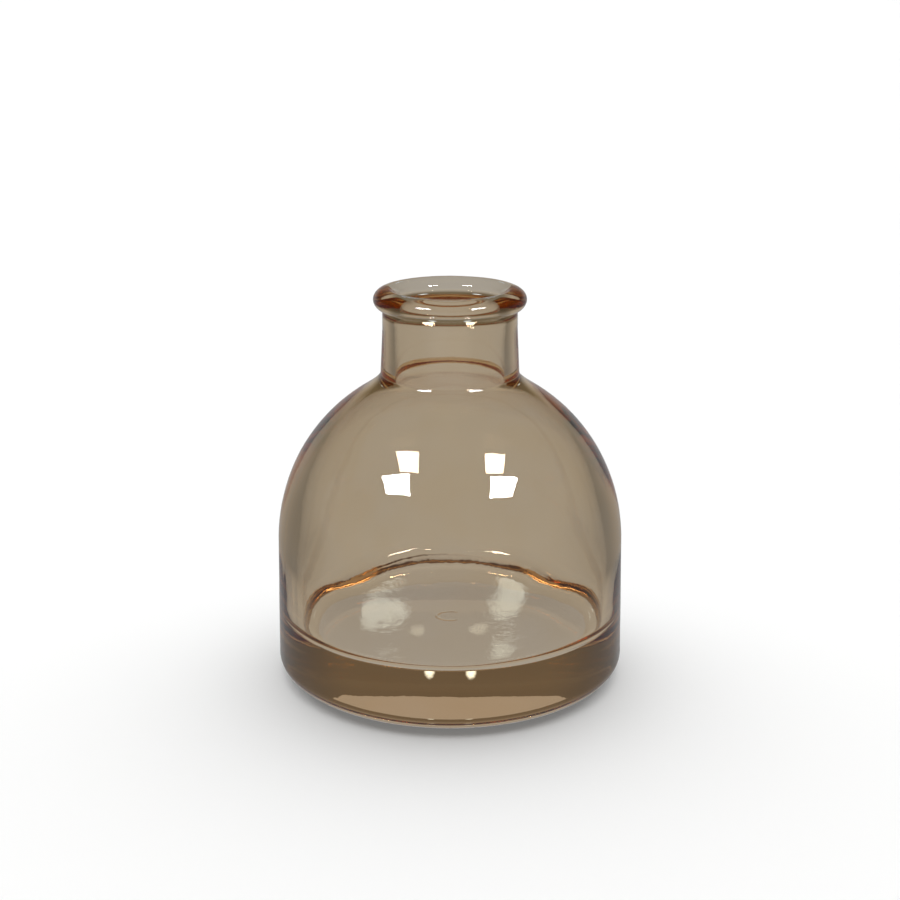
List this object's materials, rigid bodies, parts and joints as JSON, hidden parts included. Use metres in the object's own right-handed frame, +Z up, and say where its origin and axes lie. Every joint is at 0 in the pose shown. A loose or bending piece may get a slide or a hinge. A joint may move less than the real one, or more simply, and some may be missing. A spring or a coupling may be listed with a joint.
{
  "type": "bud vase",
  "caption": "Squat domed bud vase in clear amber-tinted glass, with a short narrow neck, a rolled lip and a thick solid base.",
  "frame": {"origin": "centre of the ring that the vase stands on", "axes": "+Z up along the vase's axis, from the base to the mouth; X and Y in the standing plane, all round alike"},
  "size_m": [0.08, 0.08, 0.09],
  "materials": {
    "tinted_glass": "clear pale amber glass, smooth and glossy, darkest in the thick base"
  },
  "bodies": {
    "root": {"vase_body": "tinted_glass"}
  },
  "joints": []
}
